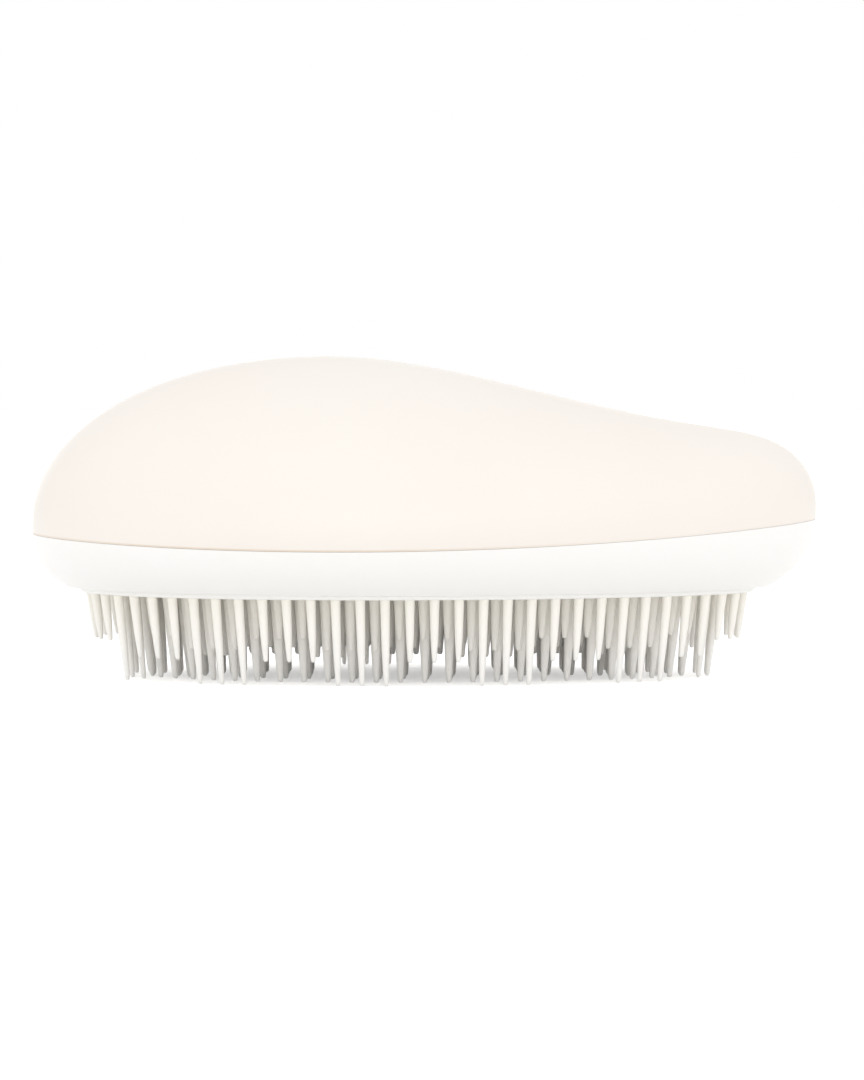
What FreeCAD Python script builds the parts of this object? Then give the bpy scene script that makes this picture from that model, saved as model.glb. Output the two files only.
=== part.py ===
import FreeCAD, Part
import math
import os
import Sketcher
from FreeCAD import Placement, Rotation, Vector

# A palm-held detangling brush: a domed cover seated on a base band, with a toothed pad held in the band.
# Millimetres. X runs from the high palm end (-X) to the low tail end (+X), Z is up,
# and the tips of the long teeth stand on Z = 0. Heights of the body are taken from the band's bottom edge.

doc = FreeCAD.newDocument("DetanglingBrush")

# Driving dimensions
dimensions = {
    # outer form
    "body_length": "116",
    "body_width": "68.8",
    "palm_nose_height": "9.2",
    "tail_nose_height": "12.2",
    "crown_back": "16",
    "crown_rise": "23.7",
    "tail_fall": "11.5",
    "belly_depth": "18.8",
    "belly_lean": "1.4",
    # parting line between the cover and the band
    "seam_palm_height": "8.1",
    "seam_tail_height": "10.4",
    "seam_radius": "704",
    "seam_gap": "0.25",
    # walls and the lip that centres the cover on the band
    "wall": "2.2",
    "tongue_thickness": "1",
    "tongue_height": "2.4",
    "tongue_clearance": "0.1",
    # opening of the band
    "rim_land": "1.9",
    "ledge_thickness": "1.5",
    # toothed pad
    "pad_proud": "0.8",
    "pad_clearance": "0.1",
    "pad_web": "2",
    "pad_rim": "3",
    "pad_edge_round": "0.5",
    "flange_thickness": "1.2",
    "flange_reach": "1",
    # teeth
    "long_tooth": "12.4",
    "mid_tooth": "9",
    "half_tooth": "7.6",
    "end_tooth": "6.8",
    "short_tooth": "5.9",
    "tooth_root": "1.3",
    "tooth_tip": "0.65",
    "edge_tooth_root": "1.1",
    "edge_tooth_tip": "0.55",
    "tooth_pitch": "3.55",
    "ring_margin": "3.6",
    "centre_gap": "3.6",
    "end_zone": "4",
    # reach of every cutting shape past what it cuts
    "overrun": "4",
}
sheet = doc.addObject("Spreadsheet::Sheet", "sizes")
for row, (name, text) in enumerate(dimensions.items(), start=1):
    sheet.set(f"A{row}", name)
    sheet.set(f"B{row}", text)
    sheet.setAlias(f"B{row}", name)
doc.recompute()


def size(name):
    return float(sheet.get(name))


# Plain numbers that give the outer form its character
EGG_SHARE = 0.13  # how much fuller the plan is at the palm end
TAIL_FALL_SHARE = 0.86  # part of the run from crown to tail nose over which the back falls
PALM_ROUNDNESS = 2.1  # 2 is an ellipse, more is squarer
TAIL_ROUNDNESS = 10
BELLY_ROUNDNESS = 0.7  # 1 is an ellipse, less turns the ends under more sharply
STATION_ANGLES = (1, 5, 12, 22, 34, 48, 62, 76, 90, 104, 118, 132, 146, 158, 168, 175, 179)
SECTION_POINTS = 20  # round one section of the form
BAND_SHARES = (0, 0.25, 0.5, 0.75, 1)  # heights of the curves up the outside of the band
OUTLINE_POINTS = 24  # along one side of an outline
HALVINGS = 40  # steps of the search for the ends of an outline
RING_POINTS = 400  # along one side, to space the teeth evenly

# Teeth stand in rings that follow the band's bottom edge, outermost first. Along a ring the length changes
# every three teeth, and the last entry is the length at the two ends of the ring.
GROUP = 3
RINGS = (
    ("mid_tooth", "long_tooth", "end_tooth"),
    ("short_tooth", "half_tooth", "long_tooth"),
    ("long_tooth", "long_tooth", "long_tooth"),
    ("half_tooth", "mid_tooth", "long_tooth"),
    ("long_tooth", "long_tooth", "long_tooth"),
    ("mid_tooth", "half_tooth", "long_tooth"),
    ("long_tooth", "long_tooth", "long_tooth"),
)
EDGE_RINGS = 2  # outer rings with the slimmer tooth
TOOTH_SIDES = 6
LEAN_SHARE = 0.03  # how far a long tooth's tip leans in, of its root's distance from the middle

# Heights and insets that several pieces share, as numbers and as expressions
half_length = size("body_length") / 2
pad_face = size("long_tooth")
base_bottom = pad_face + size("pad_proud")
ledge_top = base_bottom + size("ledge_thickness")
tongue_inset = size("wall") - size("tongue_thickness")
flange_inset = size("rim_land") - size("flange_reach")
BASE_BOTTOM = "(sizes.long_tooth + sizes.pad_proud)"
ROOF = f"({BASE_BOTTOM} + sizes.tail_nose_height + sizes.crown_rise + sizes.overrun)"


# Outer form
def station(angle, inset):
    along, across = math.cos(angle), math.sin(angle)
    crown = -size("crown_back")
    x = -half_length * along
    palm, tail = size("palm_nose_height"), size("tail_nose_height")
    nose = base_bottom + palm + (tail - palm) * (1 - along) / 2
    if x < crown:
        u = (crown - x) / (half_length + crown)
        rise = size("crown_rise") * (1 - u**PALM_ROUNDNESS) ** (1 / PALM_ROUNDNESS)
    else:
        u = (x - crown) / (half_length - crown)
        fall = min(u / TAIL_FALL_SHARE, 1)
        rise = size("crown_rise") - size("tail_fall") * fall**2 * (3 - 2 * fall)
        rise *= math.sqrt(1 - u**TAIL_ROUNDNESS)
    drop = (size("belly_depth") - size("belly_lean") * along) * across**BELLY_ROUNDNESS
    half_width = (size("body_width") / 2 - inset) * across * (1 + EGG_SHARE * along)
    shrink = inset * math.sqrt(across)
    return -(half_length - inset) * along, nose, half_width, rise - shrink, drop - shrink


def section(angle, inset):
    x, nose, half_width, rise, drop = station(angle, inset)
    points = []
    for i in range(SECTION_POINTS):
        turn = 2 * math.pi * i / SECTION_POINTS - math.pi / 2
        height = math.sin(turn)
        z = nose + (rise if height > 0 else drop) * height
        points.append(Vector(x, half_width * math.cos(turn), z))
    return closed_curve(points)


def closed_curve(points):
    curve = Part.BSplineCurve()
    curve.interpolate(Points=points, PeriodicFlag=True, Parameters=list(range(len(points) + 1)))
    return Part.Wire([curve.toShape()])


# The whole pebble form, drawn in by an inset, as one smooth loft from nose to nose
def blank(name, inset):
    sections = [section(math.radians(angle), inset) for angle in STATION_ANGLES]
    return feature(name, Part.makeLoft(sections, True))


# One side of the form drawn in by an inset, where it meets a height given along X, from palm end to tail end
def form_side(inset, height, count):
    def level(angle):
        x, nose, half_width, rise, drop = station(angle, inset)
        offset = height(x) - nose
        return x, half_width, abs(offset), rise if offset > 0 else drop

    ends = []
    for outside in (0, math.pi):
        inside = math.pi / 2
        for halving in range(HALVINGS):
            middle = (outside + inside) / 2
            x, half_width, offset, reach = level(middle)
            outside, inside = (middle, inside) if offset > reach else (outside, middle)
        ends.append(inside)
    first, last = ends
    side = []
    for i in range(count + 1):
        angle = (first + last) / 2 - (last - first) / 2 * math.cos(math.pi * i / count)
        x, half_width, offset, reach = level(angle)
        y = half_width * math.sqrt(max(1 - (offset / reach) ** 2, 0)) if 0 < i < count else 0
        side.append(Vector(x, y, height(x)))
    return side


# One side of the band's bottom edge, drawn in by an inset, at a level height
def edge_side(inset, count, height=0):
    side = form_side(0, lambda x: base_bottom, count)
    middle = (side[0].x + side[-1].x) / 2
    half_width = max(point.y for point in side)
    along, across = 1 - inset / (side[-1].x - middle), 1 - inset / half_width
    drawn_in = [Vector(middle + (point.x - middle) * along, point.y * across, height) for point in side]
    return drawn_in, half_width


# A closed curve through one side and its mirror image
def loop_curve(side):
    return closed_curve(side + [Vector(point.x, -point.y, point.z) for point in side[-2:0:-1]])


def edge_wire(name, inset, height):
    side, half_width = edge_side(inset, OUTLINE_POINTS, height)
    return feature(name, loop_curve(side))


# Document objects
def feature(name, shape):
    made = doc.addObject("Part::Feature", name)
    made.Shape = shape
    made.Placement = Placement()
    return made


def boolean(kind, name, base, tool):
    made = doc.addObject(kind, name)
    made.Base = base
    made.Tool = tool
    return made


def cut(name, base, tool):
    return boolean("Part::Cut", name, base, tool)


def common(name, base, tool):
    return boolean("Part::Common", name, base, tool)


def fuse(name, *shapes):
    made = doc.addObject("Part::MultiFuse", name)
    made.Shapes = list(shapes)
    return made


def extrusion(name, profile, length, direction=Vector(0, 0, 1)):
    made = doc.addObject("Part::Extrusion", name)
    made.Base = profile
    made.DirMode = "Custom"
    made.Dir = direction
    made.Solid = True
    made.setExpression("LengthFwd", length)
    return made


def drive(sketch, kind, places, value, expression):
    index = sketch.addConstraint(Sketcher.Constraint(kind, *places, value))
    sketch.setExpression(f"Constraints[{index}]", expression)


# The ends and the centre of the parting arc, in the plane of the body's long section
def seam_arc():
    reach = half_length + size("overrun")
    palm = Vector(-reach, base_bottom + size("seam_palm_height"), 0)
    tail = Vector(reach, base_bottom + size("seam_tail_height"), 0)
    chord = tail - palm
    apothem = math.sqrt(size("seam_radius") ** 2 - (chord.Length / 2) ** 2)
    centre = (palm + tail) / 2 + Vector(-chord.y, chord.x, 0).normalize() * apothem
    return palm, tail, centre


def seam_height(x):
    palm, tail, centre = seam_arc()
    return centre.y - math.sqrt(size("seam_radius") ** 2 - (x - centre.x) ** 2)


# The space between the parting line, lifted by a height, and a level cap, across the whole body
def seam_prism(name, lift, cap):
    sketch = doc.addObject("Sketcher::SketchObject", name + "_profile")
    sketch.Placement = Placement(Vector(), Rotation(Vector(1, 0, 0), 90))
    palm, tail, centre = seam_arc()
    circle = Part.Circle(centre, Vector(0, 0, 1), size("seam_radius"))
    tail_cap, palm_cap = Vector(tail.x, base_bottom, 0), Vector(palm.x, base_bottom, 0)
    sketch.addGeometry(Part.ArcOfCircle(circle, circle.parameter(palm), circle.parameter(tail)))
    sketch.addGeometry(Part.LineSegment(tail, tail_cap))
    sketch.addGeometry(Part.LineSegment(tail_cap, palm_cap))
    sketch.addGeometry(Part.LineSegment(palm_cap, palm))
    for side in range(4):
        sketch.addConstraint(Sketcher.Constraint("Coincident", side, 2, (side + 1) % 4, 1))
    sketch.addConstraint(Sketcher.Constraint("Vertical", 1))
    sketch.addConstraint(Sketcher.Constraint("Horizontal", 2))
    sketch.addConstraint(Sketcher.Constraint("Vertical", 3))
    reach = "sizes.body_length / 2 + sizes.overrun"
    drive(sketch, "DistanceX", (0, 1, -1, 1), tail.x, reach)
    drive(sketch, "DistanceX", (-1, 1, 0, 2), tail.x, reach)
    drive(sketch, "DistanceY", (-1, 1, 0, 1), palm.y, f"{BASE_BOTTOM} + sizes.seam_palm_height + {lift}")
    drive(sketch, "DistanceY", (-1, 1, 0, 2), tail.y, f"{BASE_BOTTOM} + sizes.seam_tail_height + {lift}")
    drive(sketch, "Radius", (0,), size("seam_radius"), "sizes.seam_radius")
    drive(sketch, "DistanceY", (-1, 1, 2, 1), base_bottom, cap)
    prism = extrusion(name, sketch, "sizes.body_width + 2 * sizes.overrun", Vector(0, 1, 0))
    prism.Symmetric = True
    return prism


# Forms that the pieces are cut from
outer_form = blank("outer_form", 0)
inner_form = blank("inner_form", size("wall"))
rebate_form = blank("rebate_form", tongue_inset - size("tongue_clearance"))

# Top cover: the dome above the parting line, hollow, with a rebate for the band's lip
cover_block = common("cover_block", outer_form, seam_prism("above_seam", "sizes.seam_gap", ROOF))
lip_space = common("lip_space", rebate_form, seam_prism("to_lip_top", "sizes.tongue_height", BASE_BOTTOM))
cover_shell = cut("cover_shell", cover_block, inner_form)
top_cover = cut("top_cover", cover_shell, lip_space)


# Base band: a ring whose faces run between closed curves, from the bottom edge up the outside to the parting
# line, over the centring lip, down the inside to the ledge that carries the pad, and back through the opening
def outer_level(share):
    def height(x):
        return base_bottom + share * (seam_height(x) - base_bottom)

    return loop_curve(form_side(0, height, OUTLINE_POINTS))


def lip_level(inset, lift):
    return loop_curve(form_side(inset, lambda x: seam_height(x) + lift, OUTLINE_POINTS))


def edge_level(inset, height):
    return loop_curve(edge_side(inset, OUTLINE_POINTS, height)[0])


outside = [outer_level(share) for share in BAND_SHARES]
flange_room = flange_inset - size("pad_clearance")
around = [
    outside[-1],
    lip_level(tongue_inset, 0),
    lip_level(tongue_inset, size("tongue_height")),
    lip_level(size("wall"), size("tongue_height")),
    lip_level(size("wall"), 0),
    edge_level(flange_room, ledge_top + size("flange_thickness") + size("pad_clearance")),
    edge_level(flange_room, ledge_top),
    edge_level(size("rim_land"), ledge_top),
    edge_level(size("rim_land"), base_bottom),
    outside[0],
]
band_faces = Part.makeLoft(outside).Faces
for low, high in zip(around, around[1:]):
    band_faces.append(Part.makeRuledSurface(low.Edges[0], high.Edges[0]))
band_skin = Part.Shell(band_faces)
band_skin.sewShape()
band_ring = Part.Solid(band_skin)
if band_ring.Volume < 0:
    band_ring.reverse()
base_shell = feature("base_shell", band_ring)

# Bristle pad: a plate that stands proud of the band's opening, with a flange on the ledge and a hollow back
pad_edge_inset = size("rim_land") + size("pad_clearance")
pad_plate = extrusion(
    "pad_plate",
    edge_wire("pad_edge", pad_edge_inset, pad_face),
    "sizes.pad_proud + sizes.ledge_thickness",
)
flange = extrusion("flange", edge_wire("flange_edge", flange_inset, ledge_top), "sizes.flange_thickness")
pad_back = extrusion(
    "pad_back",
    edge_wire("pad_back_edge", pad_edge_inset + size("pad_rim"), pad_face + size("pad_web")),
    "sizes.ledge_thickness + sizes.flange_thickness + sizes.overrun",
)
doc.recompute()
rounded_plate = doc.addObject("Part::Fillet", "rounded_plate")
rounded_plate.Base = pad_plate
lower_edges = [
    i
    for i, edge in enumerate(pad_plate.Shape.Edges, start=1)
    if edge.BoundBox.ZMax < pad_face + size("pad_edge_round")
]
rounded_plate.Edges = [(i, size("pad_edge_round"), size("pad_edge_round")) for i in lower_edges]
plate_ring = cut("plate_ring", rounded_plate, pad_back)
flange_ring = cut("flange_ring", flange, pad_back)
bristle_pad = fuse("bristle_pad", plate_ring, flange_ring)


# Teeth
def polygon(x, y, z, radius):
    turns = [2 * math.pi * i / TOOTH_SIDES for i in range(TOOTH_SIDES)]
    return [Vector(x + radius * math.cos(turn), y + radius * math.sin(turn), z) for turn in turns]


def flat_face(points):
    return Part.Face(Part.makePolygon([*points, points[0]]))


# A tapered tooth with a flat root on the pad's face and a flat tip, leaning in towards the middle of the pad
def tooth(x, y, length, root, tip):
    lean = 1 - LEAN_SHARE * length / size("long_tooth")
    top = polygon(x, y, pad_face, root / 2)
    low = polygon(x * lean, y * lean, pad_face - length, tip / 2)
    faces = [flat_face(top), flat_face(low)]
    for i in range(TOOTH_SIDES):
        j = (i + 1) % TOOTH_SIDES
        faces.append(flat_face([top[i], top[j], low[j], low[i]]))
    solid = Part.Solid(Part.Shell(faces))
    if solid.Volume < 0:
        solid.reverse()
    return solid


# Places along one side of a ring, evenly spaced by the tooth pitch, each with its number from the widest one
def tooth_places(inset):
    side, half_width = edge_side(inset, RING_POINTS)
    run = [0]
    for here, there in zip(side, side[1:]):
        run.append(run[-1] + (there - here).Length)
    count = round(run[-1] / size("tooth_pitch"))
    places, step = [], 0
    for i in range(count):
        wanted = run[-1] * (i + 0.5) / count
        while run[step + 1] < wanted:
            step += 1
        share = (wanted - run[step]) / (run[step + 1] - run[step])
        places.append(side[step] + (side[step + 1] - side[step]) * share)
    middle = min(range(count), key=lambda i: abs(places[i].x))
    palm_end, tail_end = side[0].x + size("end_zone"), side[-1].x - size("end_zone")
    return [(p.x, p.y, i - middle, not palm_end < p.x < tail_end) for i, p in enumerate(places)]


def tooth_ring(number, lengths):
    side, edge_half_width = edge_side(0, RING_POINTS)
    outer_inset = size("ring_margin")
    inner_inset = edge_half_width - size("centre_gap") / 2
    inset = outer_inset + (inner_inset - outer_inset) * number / (len(RINGS) - 1)
    kind = "edge_tooth" if number < EDGE_RINGS else "tooth"
    teeth = []
    for x, y, count, at_end in tooth_places(inset):
        group = (count + GROUP // 2) // GROUP % 2
        length = size(lengths[2] if at_end else lengths[group])
        for side_y in (-y, y):
            teeth.append(tooth(x, side_y, length, size(f"{kind}_root"), size(f"{kind}_tip")))
    return feature(f"tooth_ring_{number + 1}", Part.Compound(teeth))


rings = [tooth_ring(number, lengths) for number, lengths in enumerate(RINGS)]
doc.recompute()

# Every object is sound before anything is written
pieces = [top_cover, base_shell, bristle_pad, *rings]
for made in doc.Objects:
    if "Invalid" in made.State or "Error" in made.State:
        raise RuntimeError(f"{made.Label} failed: {made.State}")
os.makedirs("parts", exist_ok=True)
for piece in pieces:
    if piece.Shape.isNull() or not piece.Shape.isValid():
        raise RuntimeError(f"{piece.Label} has no valid shape")
for piece in pieces:
    piece.Shape.exportStep(f"parts/{piece.Label}.step")
    box = piece.Shape.BoundBox
    print(piece.Label, len(piece.Shape.Solids), "solids", round(piece.Shape.Volume, 1), "mm3", box)
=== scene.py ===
import bpy
import math
from mathutils import Matrix, Vector


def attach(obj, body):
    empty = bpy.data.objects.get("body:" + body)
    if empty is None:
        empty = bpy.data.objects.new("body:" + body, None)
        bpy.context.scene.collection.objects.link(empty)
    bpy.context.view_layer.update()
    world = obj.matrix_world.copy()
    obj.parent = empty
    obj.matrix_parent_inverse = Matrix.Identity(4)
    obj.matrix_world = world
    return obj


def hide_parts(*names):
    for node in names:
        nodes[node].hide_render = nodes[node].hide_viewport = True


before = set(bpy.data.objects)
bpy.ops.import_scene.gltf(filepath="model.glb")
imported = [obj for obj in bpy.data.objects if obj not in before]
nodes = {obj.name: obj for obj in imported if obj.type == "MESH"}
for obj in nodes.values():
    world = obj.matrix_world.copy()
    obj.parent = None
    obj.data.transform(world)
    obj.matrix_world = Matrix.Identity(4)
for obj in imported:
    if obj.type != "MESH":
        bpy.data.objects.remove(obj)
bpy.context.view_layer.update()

print("frame loaded:", len(nodes), "nodes")


# shader maths: a wrapped socket, so that masks can be written as plain expressions
class Sock:
    def __init__(self, owner, out):
        self.owner, self.out = owner, out

    def math(self, operation, a, b):
        return self.owner.node("ShaderNodeMath", {"operation": operation}, {0: a, 1: b})[0]

    def __add__(self, other):
        return self.math("ADD", self, other)

    def __radd__(self, other):
        return self.math("ADD", other, self)

    def __sub__(self, other):
        return self.math("SUBTRACT", self, other)

    def __rsub__(self, other):
        return self.math("SUBTRACT", other, self)

    def __mul__(self, other):
        return self.math("MULTIPLY", self, other)

    def __rmul__(self, other):
        return self.math("MULTIPLY", other, self)

    def clamp(self):
        return self.owner.node("ShaderNodeClamp", {}, {0: self})[0]

    # a noise value turned into a swing about a middle value
    def vary(self, middle, swing):
        return self * swing + (middle - swing / 2)


class Nodes:
    def __init__(self, tree):
        self.tree = tree

    # one way to add any node: its type, its settings, then its sockets
    def node(self, kind, settings, sockets, *outputs):
        made = self.tree.nodes.new(kind)
        for key, value in settings.items():
            setattr(made, key, value)
        for key, value in sockets.items():
            self.plug(made.inputs[key], value)
        return [Sock(self, made.outputs[name]) for name in outputs or (0,)]

    def plug(self, socket, value):
        if isinstance(value, Sock):
            self.tree.links.new(value.out, socket)
        else:
            socket.default_value = value

    def blend(self, mask, first, second):
        settings = {"data_type": "RGBA", "clamp_factor": True}
        return self.node("ShaderNodeMix", settings, {0: mask, 6: first, 7: second}, 2)[0]

    # 1 where something is seen directly, in a reflection or through something clear
    def seen(self):
        kinds = "Is Camera Ray", "Is Glossy Ray", "Is Transmission Ray"
        camera, glossy, clear = self.node("ShaderNodeLightPath", {}, {}, *kinds)
        return (camera + glossy + clear).clamp()


class Finish(Nodes):
    def __init__(self, name):
        self.material = bpy.data.materials.new(name)
        self.material.use_nodes = True
        super().__init__(self.material.node_tree)
        self.shader = self.tree.nodes["Principled BSDF"]
        self.coords = self.node("ShaderNodeTexCoord", {}, {}, "Object")[0]

    def set(self, **sockets):
        for key, value in sockets.items():
            self.plug(self.shader.inputs[key.replace("_", " ")], value)

    def noise(self, scale, detail, stretch=(1, 1, 1)):
        place = self.node("ShaderNodeMapping", {}, {"Vector": self.coords, "Scale": stretch})[0]
        sockets = {"Vector": place, "Scale": scale, "Detail": detail}
        return self.node("ShaderNodeTexNoise", {"noise_dimensions": "3D"}, sockets, "Fac")[0]

    # the fine grain that the mould leaves
    def grain(self, look):
        height = self.noise(look["grainSize"], look["grainDetail"], look["grainStretch"])
        sockets = {"Strength": look["grainStrength"], "Distance": look["grainDepth"], "Height": height}
        return self.node("ShaderNodeBump", {}, sockets, "Normal")[0]


def rgb(red, green, blue):
    def linear(value):
        value /= 255
        return value / 12.92 if value <= 0.04045 else ((value + 0.055) / 1.055) ** 2.4
    return (linear(red), linear(green), linear(blue), 1)


# the pebble form of the body, in metres, as in the solids
form = {
    "halfLength": 0.058,
    "halfWidth": 0.0344,
    "egg": 0.13,
    "bandBottom": 0.0132,
    "palmNose": 0.0092,
    "tailNose": 0.0122,
    "crown": -0.016,
    "crownRise": 0.0237,
    "tailFall": 0.0115,
    "tailFallShare": 0.86,
    "palmRoundness": 2.1,
    "tailRoundness": 10,
    "bellyDepth": 0.0188,
    "bellyLean": 0.0014,
    "bellyRoundness": 0.7,
    "seamPalm": 0.0081,
    "seamTail": 0.0104,
    "seamReach": 0.062,
    "seamRadius": 0.704,
    "slopeStep": 0.001,
    "halvings": 40,
    "least": 1e-9,
}


# a cross-section: the height of its widest line, its half width, and its reach above and below
def bodySlice(x):
    along = max(-1, min(1, -x / form["halfLength"]))
    across = math.sqrt(1 - along * along)
    nose = form["bandBottom"] + form["palmNose"] + (form["tailNose"] - form["palmNose"]) * (1 - along) / 2
    if x < form["crown"]:
        u = min((form["crown"] - x) / (form["halfLength"] + form["crown"]), 1)
        rise = form["crownRise"] * (1 - u ** form["palmRoundness"]) ** (1 / form["palmRoundness"])
    else:
        u = min((x - form["crown"]) / (form["halfLength"] - form["crown"]), 1)
        fall = min(u / form["tailFallShare"], 1)
        rise = form["crownRise"] - form["tailFall"] * fall * fall * (3 - 2 * fall)
        rise *= math.sqrt(1 - u ** form["tailRoundness"])
    drop = (form["bellyDepth"] - form["bellyLean"] * along) * across ** form["bellyRoundness"]
    width = form["halfWidth"] * across * (1 + form["egg"] * along)
    return nose, width, rise, drop


# the quarter ellipse of a section, as a share of its reach
def ellipse(offset, reach):
    return math.sqrt(max(1 - (offset / max(reach, form["least"])) ** 2, 0))


def seamHeight(x):
    palm = Vector((-form["seamReach"], form["bandBottom"] + form["seamPalm"]))
    tail = Vector((form["seamReach"], form["bandBottom"] + form["seamTail"]))
    chord = tail - palm
    apothem = math.sqrt(form["seamRadius"] ** 2 - (chord.length / 2) ** 2)
    centre = (palm + tail) / 2 + Vector((-chord.y, chord.x)).normalized() * apothem
    return centre.y - math.sqrt(form["seamRadius"] ** 2 - (x - centre.x) ** 2)


# cover: satin cream plastic, a soft mottle, the fine grain of a textured mould, and painted shade along
# the seam
coverLook = {
    "cream": rgb(246, 241, 234),
    "creamWarm": rgb(246, 238, 230),
    "mottleSize": 28,
    "mottleDetail": 3,
    "mottleSwing": 1.6,
    # painted shade of the seam gap: its tone, its height and fade above the seam, and its spread along
    # the body
    "paintedSeamShade": rgb(230, 214, 196),
    "seamShadeHeight": 0.00015,
    "seamShadeFade": 0.00025,
    "seamShadeCentre": -0.024,
    "seamShadeReach": 0.05,
    "seamShadeLeast": 0.15,
    "rough": 0.44,
    "roughSwing": 0.08,
    "gloss": 0.4,
    "grainSize": 2600,
    "grainDetail": 2,
    "grainStretch": (1, 1, 1),
    "grainStrength": 0.25,
    "grainDepth": 0.00002,
}
coverFinish = Finish("satinCreamSeamShade")
mottle = coverFinish.noise(coverLook["mottleSize"], coverLook["mottleDetail"])
creamMask = mottle.vary(0.5, coverLook["mottleSwing"])
creamTone = coverFinish.blend(creamMask, coverLook["cream"], coverLook["creamWarm"])
# painted shade along the seam, standing in for the gap's shadow: deepest near the crown, fading towards
# both ends
along, up = coverFinish.node("ShaderNodeSeparateXYZ", {}, {0: coverFinish.coords}, "X", "Z")
slope = (seamHeight(form["slopeStep"]) - seamHeight(-form["slopeStep"])) / (2 * form["slopeStep"])
aboveSeam = up - (along * slope + along * along * (0.5 / form["seamRadius"]) + seamHeight(0))
seamShadeMask = (1 - (aboveSeam - coverLook["seamShadeHeight"]) * (1 / coverLook["seamShadeFade"])).clamp()
away = (along - coverLook["seamShadeCentre"]) * (1 / coverLook["seamShadeReach"])
seamShadeEnds = (1 - away * away).clamp() * (1 - coverLook["seamShadeLeast"]) + coverLook["seamShadeLeast"]
coverFinish.set(
    # the base colour lays the painted seam shade over the cream mottle
    Base_Color=coverFinish.blend(seamShadeMask * seamShadeEnds, creamTone, coverLook["paintedSeamShade"]),
    Roughness=mottle.vary(coverLook["rough"], coverLook["roughSwing"]),
    Normal=coverFinish.grain(coverLook),
    Specular_IOR_Level=coverLook["gloss"],
)

# band: white plastic with a closer, smoother mould skin
bandLook = {
    "white": rgb(252, 250, 247),
    "whiteCool": rgb(251, 250, 248),
    "mottleSize": 40,
    "mottleDetail": 2,
    "mottleSwing": 1.6,
    "rough": 0.36,
    "roughSwing": 0.1,
    "gloss": 0.4,
    "grainSize": 3400,
    "grainDetail": 1,
    "grainStretch": (1, 1, 1),
    "grainStrength": 0.2,
    "grainDepth": 0.00001,
}
bandFinish = Finish("satinWhite")
cloud = bandFinish.noise(bandLook["mottleSize"], bandLook["mottleDetail"])
whiteMask = cloud.vary(0.5, bandLook["mottleSwing"])
bandFinish.set(
    Base_Color=bandFinish.blend(whiteMask, bandLook["white"], bandLook["whiteCool"]),
    Roughness=cloud.vary(bandLook["rough"], bandLook["roughSwing"]),
    Normal=bandFinish.grain(bandLook),
    Specular_IOR_Level=bandLook["gloss"],
)

# pad and teeth: one soft warm-white plastic, with painted shade that deepens the tone towards the roots,
# where the pad and the rows shade them
toothLook = {
    "tip": rgb(255, 253, 249),
    # painted shade: the deeper, warmer tone at the tooth roots
    "root": rgb(254, 250, 240),
    # the pad's tone where the teeth get their painted root shade
    "pad": rgb(253, 252, 249),
    "rootHeight": 0.0124,
    "shadeFade": 0.009,
    "shadeShare": 0.9,
    "toothPatch": 160,
    "padPatch": 90,
    "patchDetail": 2,
    "patchSwing": 0.2,
    "rough": 0.48,
    "roughSwing": 0.12,
    "grainSize": 900,
    "grainDetail": 2,
    "grainStretch": (1, 1, 0.2),
    "grainStrength": 0.2,
    "grainDepth": 0.00003,
}


def softWhite(name, patchSize, shadeTone):
    finish = Finish(name)
    height = finish.node("ShaderNodeSeparateXYZ", {}, {0: finish.coords}, "Z")[0]
    # painted shade: the tone deepens from the tips up towards the roots, with a random patch on top
    depth = ((height - (toothLook["rootHeight"] - toothLook["shadeFade"])) * (1 / toothLook["shadeFade"])).clamp()
    patch = finish.noise(patchSize, toothLook["patchDetail"])
    shadeAndPatchMask = depth * toothLook["shadeShare"] + patch.vary(0, toothLook["patchSwing"])
    finish.set(
        Base_Color=finish.blend(shadeAndPatchMask, toothLook["tip"], shadeTone),
        Roughness=patch.vary(toothLook["rough"], toothLook["roughSwing"]),
        Normal=finish.grain(toothLook),
    )
    return finish


toothFinish = softWhite("softWhiteTeethRootShade", toothLook["toothPatch"], toothLook["root"])
padFinish = softWhite("softWhitePadRootShade", toothLook["padPatch"], toothLook["pad"])
print("finishes made")


def dress(obj, finish):
    obj.data.materials.clear()
    obj.data.materials.append(finish.material)


def pick(*objects):
    bpy.ops.object.select_all(action="DESELECT")
    for obj in objects:
        obj.select_set(True)
    bpy.context.view_layer.objects.active = objects[0]


# into edit mode with only the wanted faces or vertices selected
def editWhere(obj, kind, wanted):
    bpy.ops.object.mode_set(mode="EDIT")
    bpy.ops.mesh.select_mode(type=kind)
    bpy.ops.mesh.select_all(action="DESELECT")
    bpy.ops.object.mode_set(mode="OBJECT")
    for item in obj.data.polygons if kind == "FACE" else obj.data.vertices:
        item.select = wanted(item)
    bpy.ops.object.mode_set(mode="EDIT")


def faceOutwards():
    bpy.ops.mesh.select_all(action="SELECT")
    bpy.ops.mesh.normals_make_consistent(inside=False)
    bpy.ops.object.mode_set(mode="OBJECT")


def widen(share):
    bpy.ops.transform.resize(value=(share, share, 1), center_override=(0, 0, 0))


def pull(distance):
    bpy.ops.mesh.extrude_region_move(TRANSFORM_OT_translate={"value": (0, 0, distance)})


def finishWith(obj, kind, **settings):
    pick(obj)
    modifier = obj.modifiers.new(kind.title(), kind)
    for key, value in settings.items():
        setattr(modifier, key, value)
    bpy.ops.object.modifier_apply(modifier=modifier.name)


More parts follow.
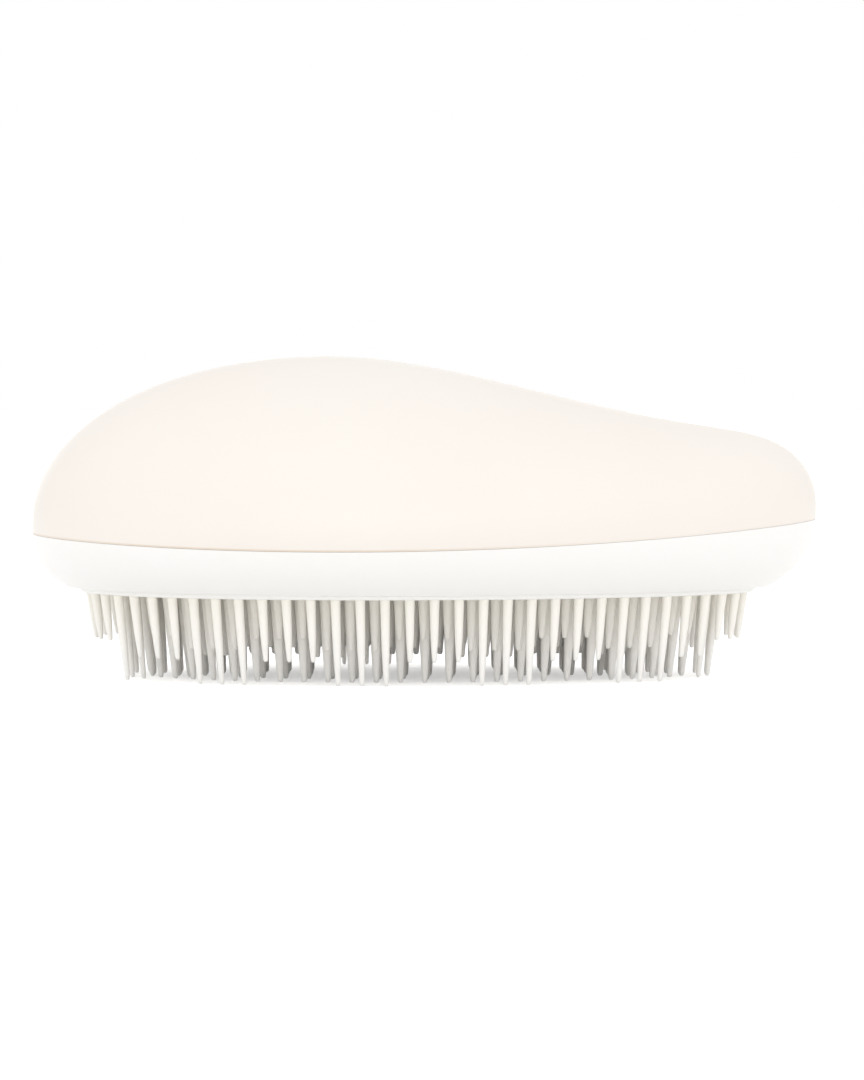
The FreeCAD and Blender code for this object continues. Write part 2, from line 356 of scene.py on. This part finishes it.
# how far the form reaches from a middle point, in a plan direction, at a height below its widest line
def reachAt(middle, turn, height):
    def inside(r):
        x, y = middle + r * math.cos(turn), abs(r * math.sin(turn))
        if abs(x) >= form["halfLength"]:
            return False
        nose, width, rise, drop = bodySlice(x)
        offset = nose - height(x, nose)
        return offset <= drop and y <= width * ellipse(offset, drop)

    near, far = 0, 2 * form["halfLength"]
    for halving in range(form["halvings"]):
        r = (near + far) / 2
        near, far = (r, far) if inside(r) else (near, r)
    return near


# cover: a sphere pulled over the pebble form, open at the seam, then given its wall
cover = {
    "segments": 160,
    "rings": 64,
    "middle": -0.004,
    "lowerRings": 8,
    "seamGap": 0.00002,
    "wall": 0.00105,
    "edge": 0.00004,
    "edgeSegments": 3,
    "edgeAngle": 50,
    "smoothAngle": 40,
}


def makeCover():
    bpy.ops.object.select_all(action="DESELECT")
    bpy.ops.mesh.primitive_uv_sphere_add(segments=cover["segments"], ring_count=cover["rings"], radius=1)
    dome = bpy.context.object
    dome.name = "coverDome"
    middle = cover["middle"]
    reaches = {}

    # the plan reach and the height of a ring of the sphere, from the widest line (0) down to the seam
    def reach(turn, level):
        key = round(turn, 5), level
        if key not in reaches:
            share = level / cover["lowerRings"]

            def height(x, nose):
                return nose + share * (min(seamHeight(x) + cover["seamGap"], nose) - nose)

            reaches[key] = reachAt(middle, turn, height), height
        return reaches[key]

    step = math.pi / cover["rings"]
    spare = set()
    for vert in dome.data.vertices:
        tilt = math.acos(max(-1, min(1, vert.co.z)))
        turn = math.atan2(vert.co.y, vert.co.x)
        level = max(round((tilt - math.pi / 2) / step), 0)
        if level > cover["lowerRings"]:
            spare.add(vert.index)
            continue
        r, height = reach(turn, level)
        r *= math.sin(tilt) if level == 0 else 1
        x, y = middle + r * math.cos(turn), r * math.sin(turn)
        nose, width, rise, drop = bodySlice(x)
        z = nose + rise * ellipse(y, width) if level == 0 else height(x, nose)
        vert.co = (x, y, z)
    editWhere(dome, "VERT", lambda vert: vert.index in spare)
    bpy.ops.mesh.delete(type="VERT")
    faceOutwards()
    finishWith(dome, "SOLIDIFY", thickness=cover["wall"], offset=-1)
    corner = math.radians(cover["edgeAngle"])
    rounding = {"width": cover["edge"], "segments": cover["edgeSegments"]}
    finishWith(dome, "BEVEL", limit_method="ANGLE", angle_limit=corner, **rounding)
    pick(dome)
    bpy.ops.object.shade_smooth_by_angle(angle=math.radians(cover["smoothAngle"]))
    return dome


coverDome = makeCover()
dress(coverDome, coverFinish)
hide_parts("top_cover")
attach(coverDome, "root")
print("cover made:", len(coverDome.data.polygons), "faces")

# band and pad keep their solids
dress(nodes["base_shell"], bandFinish)
dress(nodes["bristle_pad"], padFinish)
print("band and pad dressed")

# teeth: one tapered tooth with a fillet at its root and a rounded tip, copied to every place
tooth = {
    "rings": 7,
    "sides": 12,
    "girth": 1.34,
    "rootFlare": 1.25,
    "flareHeight": 0.035,
    "waist": -0.6,
    "fullness": 1.14,
    "tipRise": 0.055,
    "tipSteps": ((0.86, 1.3), (0.55, 0.7)),  # width left and share of the rise
    "level": 0.9,
    "smoothAngle": 50,
}


# every tooth of a ring, as its root and tip centres and the radii there
def toothPlaces(node):
    mesh = nodes[node].data
    keys = [tuple(round(c, 6) for c in vert.co) for vert in mesh.vertices]
    owner = {key: key for key in keys}

    def find(key):
        while owner[key] != key:
            owner[key] = owner[owner[key]]
            key = owner[key]
        return key

    # the node's loose triangles are gathered into single teeth by the corners that they share
    for face in mesh.polygons:
        first = find(keys[face.vertices[0]])
        for index in face.vertices[1:]:
            owner[find(keys[index])] = first
    islands = {}
    for key in owner:
        islands.setdefault(find(key), []).append(Vector(key))

    def ring(points):
        centre = sum(points, Vector()) / len(points)
        return centre, sum((p - centre).length for p in points) / len(points)

    places = []
    for points in islands.values():
        middle = (max(p.z for p in points) + min(p.z for p in points)) / 2
        root, rootRadius = ring([p for p in points if p.z > middle])
        tip, tipRadius = ring([p for p in points if p.z <= middle])
        places.append((root, tip, rootRadius, tipRadius))
    return sorted(places, key=lambda place: tuple(place[0]))


# a tooth of unit length and root radius, root at the origin, pointing down
def makeTooth(taper):
    bpy.ops.object.select_all(action="DESELECT")
    bpy.ops.mesh.primitive_cone_add(
        vertices=tooth["sides"], radius1=taper, radius2=1, depth=1, location=(0, 0, -0.5)
    )
    bpy.ops.object.transform_apply(location=True, rotation=True, scale=True)
    made = bpy.context.object
    # the root: pushed down to where the fillet ends, then drawn back up and wider
    editWhere(made, "FACE", lambda face: face.normal.z > tooth["level"])
    bpy.ops.transform.translate(value=(0, 0, -tooth["flareHeight"]))
    pull(tooth["flareHeight"])
    widen(tooth["rootFlare"])
    # the tip: a rounded end in two short steps
    bpy.ops.object.mode_set(mode="OBJECT")
    editWhere(made, "FACE", lambda face: face.normal.z < -tooth["level"])
    rise = taper * tooth["tipRise"]
    bpy.ops.transform.translate(value=(0, 0, rise * sum(share for width, share in tooth["tipSteps"])))
    for width, share in tooth["tipSteps"]:
        pull(-rise * share)
        widen(width)
    # the shaft: cut once across and filled out there, so that it tapers mostly below
    bpy.ops.mesh.select_all(action="SELECT")
    bpy.ops.mesh.bisect(plane_co=(0, 0, tooth["waist"]), plane_no=(0, 0, 1))
    widen(tooth["fullness"])
    faceOutwards()
    bpy.ops.object.shade_smooth_by_angle(angle=math.radians(tooth["smoothAngle"]))
    return made


def makeRing(number):
    node = f"tooth_ring_{number}"
    places = toothPlaces(node)
    pattern = makeTooth(places[0][3] / places[0][2])
    copies = []
    for root, tip, rootRadius, tipRadius in places:
        copy = pattern.copy()
        copy.data = pattern.data.copy()
        thick = rootRadius * tooth["girth"]
        shaft = root - tip
        copy.data.transform(
            Matrix((
                (thick, 0, shaft.x, root.x),
                (0, thick, shaft.y, root.y),
                (0, 0, shaft.z, root.z),
                (0, 0, 0, 1),
            ))
        )
        bpy.context.collection.objects.link(copy)
        copies.append(copy)
    bpy.data.objects.remove(pattern)
    pick(*copies)
    bpy.ops.object.join()
    ring = bpy.context.object
    ring.name = f"teethRing{number}"
    dress(ring, toothFinish)
    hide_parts(node)
    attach(ring, "root")
    return len(places)


toothCount = sum(makeRing(number) for number in range(1, tooth["rings"] + 1))
print("teeth made:", toothCount)

# floor and light: each softbox has its place, aim, width and height, and power
stage = {
    "floorSize": 6,
    "floorWhite": 0.94,
    "floorRough": 0.9,
    "floorGlow": 0.42,
    "worldLevel": 0.955,
    "softboxes": {
        "keyBox": ((-0.45, -0.5, 0.75), (0, 0, 0.03), (0.6, 0.6), 0.36),
        "fillBox": ((0.6, -0.6, 0.4), (0, 0, 0.03), (0.6, 0.6), 0.24),
        "frontBox": ((0, -0.75, 0.09), (0, 0, 0.005), (0.7, 0.12), 0.5),
        "backBox": ((0, 0.75, 0.09), (0, 0, 0.005), (0.7, 0.12), 0.5),
    },
}
black, white = (0, 0, 0, 1), (1, 1, 1, 1)

bpy.ops.object.select_all(action="DESELECT")
bpy.ops.mesh.primitive_plane_add(size=stage["floorSize"])
floor = bpy.context.object
floor.name = "floor"
floorFinish = Finish("paleFloor")
floorFinish.set(
    Base_Color=(stage["floorWhite"],) * 3 + (1,),
    Roughness=stage["floorRough"],
    Emission_Color=floorFinish.blend(floorFinish.seen(), black, white),
    Emission_Strength=stage["floorGlow"],
)
dress(floor, floorFinish)

world = bpy.data.worlds.new("studio")
bpy.context.scene.world = world
world.use_nodes = True
sky = Nodes(world.node_tree)
backdrop = world.node_tree.nodes["Background"]
sky.plug(backdrop.inputs["Color"], white)
sky.plug(backdrop.inputs["Strength"], sky.seen() * (1 - stage["worldLevel"]) + stage["worldLevel"])


def softbox(name, place, aim, sizes, power):
    light = bpy.data.lights.new(name, "AREA")
    light.shape = "RECTANGLE"
    light.size, light.size_y = sizes
    light.energy = power
    obj = bpy.data.objects.new(name, light)
    bpy.context.collection.objects.link(obj)
    obj.visible_camera = False
    obj.location = place
    obj.rotation_euler = (Vector(aim) - Vector(place)).to_track_quat("-Z", "Y").to_euler()


for name, settings in stage["softboxes"].items():
    softbox(name, *settings)

# camera
view = {"target": (0.0011, 0, 0.02), "elevation": 2.3, "distance": 0.7, "lens": 157.5, "sensor": 36}
cameraData = bpy.data.cameras.new("camera")
cameraData.lens = view["lens"]
cameraData.sensor_width = view["sensor"]
camera = bpy.data.objects.new("camera", cameraData)
bpy.context.collection.objects.link(camera)
tilt = math.radians(view["elevation"])
target = Vector(view["target"])
camera.location = target + view["distance"] * Vector((0, -math.cos(tilt), math.sin(tilt)))
camera.rotation_euler = (math.pi / 2 - tilt, 0, 0)
bpy.context.scene.camera = camera
bpy.context.scene.view_settings.view_transform = "Standard"
print("stage set")
